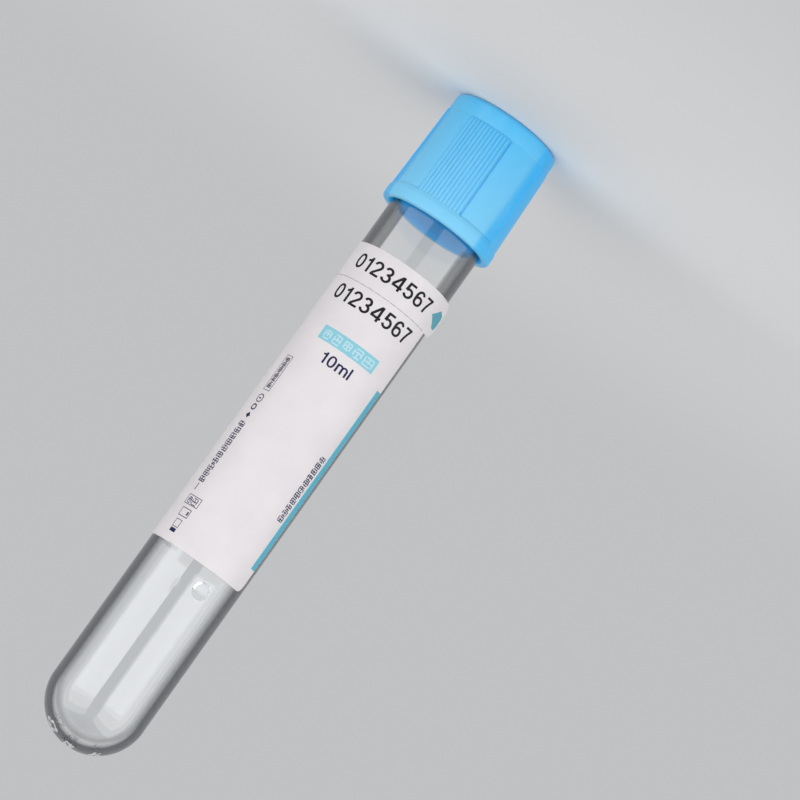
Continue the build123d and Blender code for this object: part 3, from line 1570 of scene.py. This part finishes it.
@dataclass
class LabelPrint:
    """The label's print, as thin films of ink. Sizes in mm, widths from the front."""

    label: Label
    layout: PrintLayout = PrintLayout()
    film: float = 0.006
    coat: float = 0.004
    sunk: float = 0.004
    strip_width: float = 0.28
    cut_reach: float = 0.00001
    bluntest: float = 0.6
    upright_inset: float = 0.3
    level_inset: float = 0.25
    level_stray: float = 0.1
    character_share: float = 0.84
    sharp: float = 35.0
    seed: int = 11
    flat: bmesh.types.BMesh = field(default_factory=bmesh.new)

    def patch(self, ink: InkKind, outline: Iterable[Point2], layer: int = 0) -> None:
        """Lays a patch of ink.

        Args:
            ink: The ink.
            outline: Width and station of each corner, in order.
            layer: How many coats lie under it.
        """
        height = layer * self.coat
        corners = [self.flat.verts.new((width, station, height)) for width, station in outline]
        self.flat.faces.new(corners).material_index = ink

    def frame(self, ink: InkKind, box: Box) -> None:
        """Lays a box's lines, just inside its edges.

        Args:
            ink: The ink.
            box: The box.
        """
        left, low, right, high = box.room.left, box.room.low, box.room.right, box.room.high
        for bar in (
            Rect(left, low, right, low + box.line),
            Rect(left, high - box.line, right, high),
            Rect(left, low + box.line, left + box.line, high - box.line),
            Rect(right - box.line, low + box.line, right, high - box.line),
        ):
            self.patch(ink, bar.corners)

    def ribbon(self, ink: InkKind, line: Sequence[Point2], width: Point2, layer: int = 0) -> None:
        """Lays a stroke of ink along a line.

        Args:
            ink: The ink.
            line: Width and station of each point. A line that ends where it starts is closed.
            width: The stroke's width where it runs up and where it runs across.
            layer: How many coats lie under it.
        """
        closed = line[0] == line[-1]
        points = [Vector(point) for point in (line[:-1] if closed else line)]
        count = len(points)
        sides = []
        for number, point in enumerate(points):
            before = points[number - 1] if closed or number else point
            after = points[(number + 1) % count] if closed or number + 1 < count else point
            ways = [way.normalized() for way in (point - before, after - point) if way.length]
            way = sum(ways, Vector((0.0, 0.0))).normalized()
            spread = 1.0 / max(way.dot(ways[0]), self.bluntest)
            aside = Vector((-way.y * width[0], way.x * width[1])) * spread / 2
            corners = (point + aside, point - aside)
            sides.append([self.flat.verts.new((*corner, layer * self.coat)) for corner in corners])
        pairs = zip(sides, sides[1:] + sides[:1]) if closed else zip(sides, sides[1:])
        for one, other in pairs:
            self.flat.faces.new((one[0], one[1], other[1], other[0])).material_index = ink

    def words(self, words: Lettering) -> None:
        """Lays plain lettering.

        Args:
            words: The lettering.
        """
        total = sum(GLYPHS[letter].width + words.gap for letter in words.text) - words.gap
        wide = (words.room.right - words.room.left) / total
        tall = words.room.high - words.room.low
        at = words.room.left
        for letter in words.text:
            glyph = GLYPHS[letter]
            for layer, stroke in enumerate(glyph.strokes):
                line = [(at + x * wide, words.room.low + y * tall) for x, y in stroke]
                self.ribbon(words.ink, line, (words.weight * wide, words.weight * tall), layer)
            at += (glyph.width + words.gap) * wide

    def character(self, ink: InkKind, draw: random.Random, line: float, room: Rect) -> None:
        """Lays a few crossing bars that stand in for one small character.

        Args:
            ink: The ink.
            draw: Where the random numbers come from.
            line: Thickness of the bars.
            room: The rectangle that the character fills.
        """
        wide, tall = room.right - room.left, room.high - room.low
        for share in (0.0, 0.5, 1.0):
            low = room.low + draw.uniform(0.0, self.upright_inset) * tall
            high = room.high - draw.uniform(0.0, self.upright_inset) * tall
            at = room.left + share * (wide - line)
            self.patch(ink, Rect(at, low, at + line, high).corners, 1)
        for share in (0.0, 0.5, 1.0):
            stray = draw.uniform(-self.level_stray, self.level_stray)
            at = room.low + (share + stray) * (tall - line)
            left = room.left + draw.uniform(0.0, self.level_inset) * wide
            right = room.right - draw.uniform(0.0, self.level_inset) * wide
            self.patch(ink, Rect(left, at, right, at + line).corners, 2)

    def column(self, ink: InkKind, column: Column) -> None:
        """Lays a column of stand-in characters up the tube.

        Args:
            ink: The ink.
            column: The column.
        """
        draw = random.Random(self.seed + column.count)
        room = column.room
        pitch = (room.high - room.low) / column.count
        for number in range(column.count):
            low = room.low + number * pitch
            high = low + pitch * self.character_share
            place = Rect(room.left, low, room.right, high)
            self.character(ink, draw, self.layout.column_line, place)

    def lay_band(self) -> None:
        """Lays the light blue band with its pale stand-in characters."""
        self.patch(InkKind.LIGHT, self.layout.band.corners)
        draw = random.Random(self.seed)
        for room in self.layout.band_characters:
            self.character(InkKind.PALE, draw, self.layout.band_line, room)

    def lay_sides(self) -> None:
        """Lays the stand-in text, signs and boxes up the two sides."""
        for column in self.layout.columns:
            self.column(InkKind.NAVY, column)
        self.patch(InkKind.NAVY, self.layout.diamond)
        for ring in self.layout.rings:
            line = oval(ring.centre, ring.reach)
            self.ribbon(InkKind.NAVY, line, (ring.line, ring.line))
        for box in self.layout.boxes:
            self.frame(InkKind.NAVY, box)
        for bar in self.layout.bars:
            self.patch(InkKind.NAVY, bar.corners)
        draw = random.Random(self.seed)
        for room in self.layout.box_characters:
            self.character(InkKind.NAVY, draw, self.layout.box_line, room)

    def lay_edge(self) -> None:
        """Lays the right edge's stripe, the tab's arrow and painted shade in the tear line's cuts.
        """
        layout, wrap, tear = self.layout, self.label.wrap, self.label.tear
        right = wrap.width_at(self.label.right_angle)
        for ink, outline in (
            (InkKind.CYAN, layout.stripe.corners),
            (InkKind.TEAL, layout.arrow),
        ):
            self.patch(ink, ((right + width, station) for width, station in outline))
        # Painted shade: dark dashes where the perforation's cuts are
        low, high = tear - layout.dash_line / 2, tear + layout.dash_line / 2
        at = wrap.width_at(self.label.left_angle) + layout.dash_gap
        while at + layout.dash < right:
            self.patch(InkKind.CUT, Rect(at, low, at + layout.dash, high).corners)
            at += layout.dash + layout.dash_gap

    def build(self) -> bpy.types.Object:
        """Cuts the print into narrow strips, rolls it on to the label and gives it its inks.

        Returns:
            The piece, riding on the tube's body.
        """
        flat, wrap = self.flat, self.label.wrap
        for lettering in self.layout.lettering:
            self.words(lettering)
        self.lay_band()
        self.lay_sides()
        self.lay_edge()
        widths = [vertex.co.x for vertex in flat.verts]
        at = min(widths) + self.strip_width / 2
        while at < max(widths):
            bmesh.ops.bisect_plane(
                flat,
                geom=flat.verts[:] + flat.edges[:] + flat.faces[:],
                dist=self.cut_reach,
                plane_co=(at, 0.0, 0.0),
                plane_no=(1.0, 0.0, 0.0),
            )
            at += self.strip_width
        raised = bmesh.ops.extrude_face_region(flat, geom=flat.faces[:], use_keep_orig=True)
        top = {part for part in raised["geom"] if isinstance(part, bmesh.types.BMVert)}
        for vertex in flat.verts:
            lift = vertex.co.z + self.film if vertex in top else -self.sunk
            vertex.co = wrap.point(vertex.co.x, vertex.co.y, lift)
        print_films = finished_mesh("label_print", flat, self.sharp)
        for kind in InkKind:
            print_films.data.materials.append(INKS[kind].material())
        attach(print_films, TUBE_BODY)
        LOG.info("label print: %d faces", len(print_films.data.polygons))
        return print_films


# ------------------------------------------------------------------------------------------------
# Closure
# ------------------------------------------------------------------------------------------------


@dataclass
class Cap:
    """The ribbed cap with its needle well and the chamber for the stopper. Sizes in mm."""

    place: TubeFrame
    rim_station: float = 92.2
    skirt_radius: float = 8.15
    rim_radius: float = 9.4
    rim_height: float = 2.2
    rim_slope: float = 0.45
    land_radius: float = 9.24
    height: float = 18.9
    band_height: float = 2.9
    band_radius: float = 8.7245
    band_slope: float = 0.2
    narrowing: float = 0.3855
    top_rounding: float = 0.8
    panel_depth: float = 0.25
    panel_angle: float = -13.85
    panel_span: float = 143.0
    panel_edge: float = 0.9
    step: float = 0.4
    rib_count: int = 12
    rib_pitch: float = 3.88
    rib_height: float = 0.22
    rib_end: float = 0.35
    rib_fullness: float = 0.6
    groove_span: float = 2.6
    groove_depths: tuple[float, float] = (0.14, 0.26)
    well_radius: float = 4.0
    well_outer: float = 5.2
    well_chamfer: float = 0.4
    chamber_radius: float = 7.6045
    head_top: float = 105.2
    flange_top: float = 102.6
    chamber_top: float = 109.6
    mouth: float = 100.0
    bead_reach: float = 0.17
    bead_width: float = 0.5
    rim_inside: float = 0.2
    rim_roundings: tuple[float, float, float] = (0.05, 0.4, 0.12)
    well_rounding: float = 0.08
    chamber_rounding: float = 0.2
    flange_rounding: float = 0.1
    bead_roundings: Point2 = (0.05, 0.1)
    skirt_ring: float = 1.0
    inside_steps: int = 8
    start_rings: tuple[float, ...] = (0.02, 0.06, 0.12, 0.2, 0.32, 0.46, 0.7, 1.2)
    middle_rings: tuple[float, ...] = (0.25, 0.4, 0.55, 0.7, 0.82)
    end_rings: tuple[float, ...] = (1.2, 0.7, 0.46, 0.3, 0.18, 0.1, 0.04, 0.0)
    side_margin: float = 0.3
    fine: float = 0.388
    finest: float = 0.18
    coarse: float = 1.2
    edge_reach: float = 1.4
    slack: float = 0.01
    sharp: float = 50.0

    @property
    def panel_start(self) -> float:
        """Station where the grip panels start."""
        return self.rim_station + self.rim_height

    @property
    def top(self) -> float:
        """Station of the cap's top."""
        return self.rim_station + self.height

    @property
    def panel_end(self) -> float:
        """Station where the grip panels end."""
        return self.top - self.band_height

    def _from_panel(self, angle: float) -> float:
        """Degrees from the middle line of the nearer grip panel."""
        away = (angle - self.panel_angle) % 180.0
        return away if away <= 90.0 else away - 180.0

    def angles(self) -> list[float]:
        """Spaces the places round the cap where its section is drawn.

        Returns:
            The angles, close together at the ribs and the panels' edges.
        """
        half_ribs = self.rib_pitch * self.rib_count / 2 + self.groove_span
        half_panel = self.panel_span / 2
        away = -90.0
        half_turn = []
        while away < 90.0 - self.slack:
            half_turn.append(away)
            near_edge = abs(abs(away) - half_panel) < self.edge_reach
            in_ribs = abs(away) < half_ribs or -half_ribs - self.fine < away < 0
            away += self.fine if in_ribs else self.finest if near_edge else self.coarse
        middles = (self.panel_angle, self.panel_angle + 180.0)
        return [middle + away for middle in middles for away in half_turn]

    def section(self) -> list[Point2]:
        """Draws the cap's section, outside first.

        Returns:
            Station and radius of each point.
        """
        at_edge, at_rim, at_slope = self.rim_roundings
        outside = rounded(
            (
                (self.rim_station + self.rim_inside, self.skirt_radius, 0.0),
                (self.rim_station, self.skirt_radius + self.rim_inside, at_edge),
                (self.rim_station, self.rim_radius, at_rim),
                (self.panel_start - self.rim_slope, self.rim_radius, at_slope),
                (self.panel_start, self.land_radius, 0.0),
            )
        )
        length = self.panel_end - self.panel_start
        shares = [depth / length for depth in self.start_rings]
        shares += self.middle_rings
        shares += [1 - depth / length for depth in self.end_rings]
        for share in shares:
            radius = self.land_radius - self.narrowing * share
            outside.append((self.panel_start + length * share, radius))
        at_bead, at_skirt = self.bead_roundings
        inside = rounded(
            (
                (self.panel_end + self.band_slope, self.band_radius, 0.0),
                (self.top, self.band_radius, self.top_rounding),
                (self.top, self.well_radius + self.well_chamfer, self.well_rounding),
                (self.top - self.well_chamfer, self.well_radius, self.well_rounding),
                (self.head_top, self.well_radius, 0.0),
                (self.head_top, self.well_outer, 0.0),
                (self.chamber_top, self.well_outer, self.chamber_rounding),
                (self.chamber_top, self.chamber_radius, self.chamber_rounding),
                (self.flange_top, self.chamber_radius, 0.0),
                (self.flange_top, self.skirt_radius, self.flange_rounding),
                (self.mouth, self.skirt_radius, 0.0),
                (self.mouth, self.skirt_radius - self.bead_reach, at_bead),
                (self.mouth - self.bead_width, self.skirt_radius, at_skirt),
                (self.rim_station + self.skirt_ring, self.skirt_radius, 0.0),
            ),
            self.inside_steps,
        )
        return outside + inside

    def relief(self, station: float, angle: float, radius: float) -> float:
        """How far the side stands proud of the lands.

        Args:
            station: Distance from the pole.
            angle: Degrees round from the front.
            radius: Radius of the section there.

        Returns:
            The relief: below zero in a panel, with the ribs standing in it.
        """
        on_side = radius >= self.skirt_radius + self.side_margin
        if not on_side or not self.panel_start <= station <= self.top:
            return 0.0
        ends = self._ease((station - self.panel_start) / self.step)
        ends *= max(0.0, min(1.0, (self.panel_end + self.band_slope - station) / self.band_slope))
        away = self._from_panel(angle)
        sides = self._ease((self.panel_span / 2 - abs(away)) / self.panel_edge)
        place = away / self.rib_pitch + self.rib_count / 2
        rib = 0.0
        if 0 <= place <= self.rib_count:
            rib = math.sin(math.pi * (place % 1.0)) ** self.rib_fullness
        beside = (abs(away) - self.rib_pitch * self.rib_count / 2) / self.groove_span
        groove = math.sin(math.pi * beside) if 0 < beside < 1 else 0.0
        along = self._ease((station - self.panel_start) / self.rib_end)
        along *= self._ease((self.panel_end - station) / self.rib_end)
        fine = along * (self.rib_height * rib - self.groove_depths[away > 0] * groove)
        return sides * ends * (fine - self.panel_depth)

    @staticmethod
    def _ease(share: float) -> float:
        """A smooth step from 0 to 1."""
        share = max(0.0, min(1.0, share))
        return share * share * (3 - 2 * share)

    def build(self, finish: Finish) -> bpy.types.Object:
        """Makes the cap.

        Args:
            finish: Its finish.

        Returns:
            The piece, riding on the closure.
        """
        section, angles = self.section(), self.angles()
        cap = turned("cap_shell", self.place, section, angles, True, self.relief, self.sharp)
        cap.data.materials.append(finish.material())
        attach(cap, CLOSURE_BODY)
        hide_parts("cap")
        LOG.info("cap: %d faces", len(cap.data.polygons))
        return cap


@dataclass
class Stopper:
    """The rubber stopper: a hollow plug, a flange and the head under the well. Sizes in mm."""

    place: TubeFrame
    mouth: float = 100.0
    plug_end: float = 95.6
    plug_radius: float = 6.55
    plug_rounding: float = 0.4
    hollow_radius: float = 4.45
    hollow_depth: float = 2.2
    flange_radius: float = 8.1
    flange_top: float = 102.6
    head_radius: float = 5.6
    head_top: float = 105.2
    dish_radius: float = 4.0
    dish_depth: float = 0.5
    edge: float = 0.12
    hollow_rounding: float = 0.3
    dish_rounding: float = 0.1
    segments: int = 160

    def section(self) -> list[Point2]:
        """Draws the stopper's section, from the middle of its hollow to that of its dish.

        Returns:
            Station and radius of each point.
        """
        hollow_top = self.plug_end + self.hollow_depth
        dish_foot = self.head_top - self.dish_depth
        return rounded(
            (
                (hollow_top, 0.0, 0.0),
                (hollow_top, self.hollow_radius, self.hollow_rounding),
                (self.plug_end, self.hollow_radius, self.edge),
                (self.plug_end, self.plug_radius, self.plug_rounding),
                (self.mouth, self.plug_radius, 0.0),
                (self.mouth, self.flange_radius, self.edge),
                (self.flange_top, self.flange_radius, self.edge),
                (self.flange_top, self.head_radius, 0.0),
                (self.head_top, self.head_radius, self.edge),
                (self.head_top, self.dish_radius, self.edge / 2),
                (dish_foot, self.dish_radius - self.dish_depth, self.dish_rounding),
                (dish_foot, 0.0, 0.0),
            )
        )

    def build(self, finish: Finish) -> bpy.types.Object:
        """Makes the stopper.

        Args:
            finish: Its finish.

        Returns:
            The piece, riding on the closure.
        """
        angles = even_angles(self.segments)
        stopper = turned("rubber_stopper", self.place, self.section(), angles, False)
        stopper.data.materials.append(finish.material())
        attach(stopper, CLOSURE_BODY)
        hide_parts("stopper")
        LOG.info("stopper: %d faces", len(stopper.data.polygons))
        return stopper


# ------------------------------------------------------------------------------------------------
# Studio
# ------------------------------------------------------------------------------------------------


@dataclass(frozen=True)
class Softbox:
    """An upright soft lamp. Sizes in metres, its azimuth in degrees from the front towards +X."""

    name: str
    azimuth: float
    distance: float
    width: float
    low: float
    high: float
    radiance: float
    mirrored: bool = True
    shy: float = 0.75
    walls_passed: Point2 = (2.9, 3.9)

    def build(self) -> bpy.types.Object:
        """Makes the lamp. It is dimmer where it is looked at straight through the clear tube.

        Returns:
            The lamp, facing the tube.
        """
        lamp = bpy.data.lights.new(self.name, "AREA")
        lamp.shape = "RECTANGLE"
        lamp.size, lamp.size_y = self.width, self.high - self.low
        lamp.energy = self.radiance * math.pi * lamp.size * lamp.size_y
        board = Board(lamp)
        passed = board.node("ShaderNodeLightPath", result="Transmission Depth")
        turned_back = passed.also("Glossy Depth").either(passed.also("Diffuse Depth"))
        straight = passed.rise(*self.walls_passed) * (1 - turned_back.both(1.0))
        board.show(board.node("ShaderNodeEmission", sockets={1: 1 - straight * self.shy}))
        holder = bpy.data.objects.new(self.name, lamp)
        turn = math.radians(self.azimuth)
        ahead = Vector((math.sin(turn), -math.cos(turn), 0.0))
        holder.location = ahead * self.distance + Vector((0.0, 0.0, (self.low + self.high) / 2))
        holder.rotation_euler = (math.pi / 2, 0.0, turn)
        holder.visible_camera = False
        holder.visible_glossy = holder.visible_transmission = self.mirrored
        bpy.context.scene.collection.objects.link(holder)
        return holder


@dataclass
class Studio:
    """Floor, lamps, backdrop and camera. Sizes in metres."""

    axis_height: float
    floor_radius: float = 6.0
    floor_segments: int = 96
    ambient: float = 0.36
    white: Colour = (1.0, 1.0, 1.0)
    camera_distance: float = 0.502
    camera_drop: float = 0.0018
    aim: Point2 = (-0.01025, 0.0688)
    roll: float = 144.66
    focal: float = 155.98
    clip: Point2 = (0.01, 50.0)
    lamps: tuple[Softbox, ...] = (
        Softbox("softbox_right", 46.0, 0.62, 0.84, -0.35, 0.75, 1.5),
        Softbox("softbox_left", -51.0, 0.62, 0.90, -0.35, 0.75, 1.5),
        Softbox("softbox_back", 180.0, 0.8, 0.9, 0.0, 0.9, 1.0, False),
    )
    backdrop: Colour = BACKDROP

    def floor(self) -> bpy.types.Object:
        """The floor, a wide disc that reflections look past.

        Returns:
            The floor.
        """
        shape = bmesh.new()
        bmesh.ops.create_circle(
            shape, cap_ends=True, segments=self.floor_segments, radius=self.floor_radius
        )
        disc = finished_mesh("studio_floor", shape)
        disc.data.materials.append(StudioFloor(backdrop=self.backdrop).material())
        disc.visible_glossy = False
        return disc

    def world(self) -> None:
        """Even light from all round, and the backdrop's colour where it is looked at."""
        sky = bpy.data.worlds.new("studio")
        bpy.context.scene.world = sky
        board = Board(sky)
        light, backdrop = (
            board.node("ShaderNodeBackground", sockets={0: (*colour, 1.0), 1: strength})
            for colour, strength in ((self.white, self.ambient), (self.backdrop, 1.0))
        )
        board.show(board.blend(board.seen(), light, backdrop))

    def camera(self) -> bpy.types.Object:
        """The camera, turned so that the cap is at the upper right.

        Returns:
            The camera.
        """
        lens = bpy.data.cameras.new("camera")
        lens.lens = self.focal
        lens.clip_start, lens.clip_end = self.clip
        holder = bpy.data.objects.new("camera", lens)
        place = Vector((0.0, -self.camera_distance, self.axis_height - self.camera_drop))
        target = Vector((self.aim[0], 0.0, self.axis_height - self.aim[1]))
        ahead = (target - place).normalized()
        right = ahead.cross(Vector((0, 0, 1))).normalized()
        upright = right.cross(ahead)
        turn = math.radians(self.roll)
        up = upright * math.cos(turn) + right * math.sin(turn)
        side = right * math.cos(turn) - upright * math.sin(turn)
        facing = Matrix((side, up, -ahead)).transposed().to_4x4()
        holder.matrix_world = Matrix.Translation(place) @ facing
        bpy.context.scene.collection.objects.link(holder)
        bpy.context.scene.camera = holder
        return holder

    def build(self) -> None:
        """Sets the studio up."""
        self.floor()
        self.world()
        for lamp in self.lamps:
            lamp.build()
        self.camera()
        bpy.context.scene.view_settings.view_transform = "Standard"
        LOG.info("studio: %d lamps", len(self.lamps))


def main() -> None:
    """Builds the tube, its label and its closure, and the studio round them."""
    logging.basicConfig(level=logging.INFO, format="%(name)s: %(message)s")
    place = TubeFrame.from_cad(Barrel.length)
    barrel = Barrel(place)
    barrel.build(ClearPlastic(pole_height=place.pole_z * MM))
    GateScuffs(place, barrel.radius).build(FrostedPlastic())
    Drop(place, barrel.bore).build(Liquid())
    label = Label(place, barrel.radius)
    label.build(LabelPaper())
    LabelPrint(label).build()
    Cap(place).build(CapPlastic(panel_angle=Cap.panel_angle))
    Stopper(place).build(StopperRubber())
    Studio(place.pole_z * MM).build()


if __name__ == "__main__":
    main()
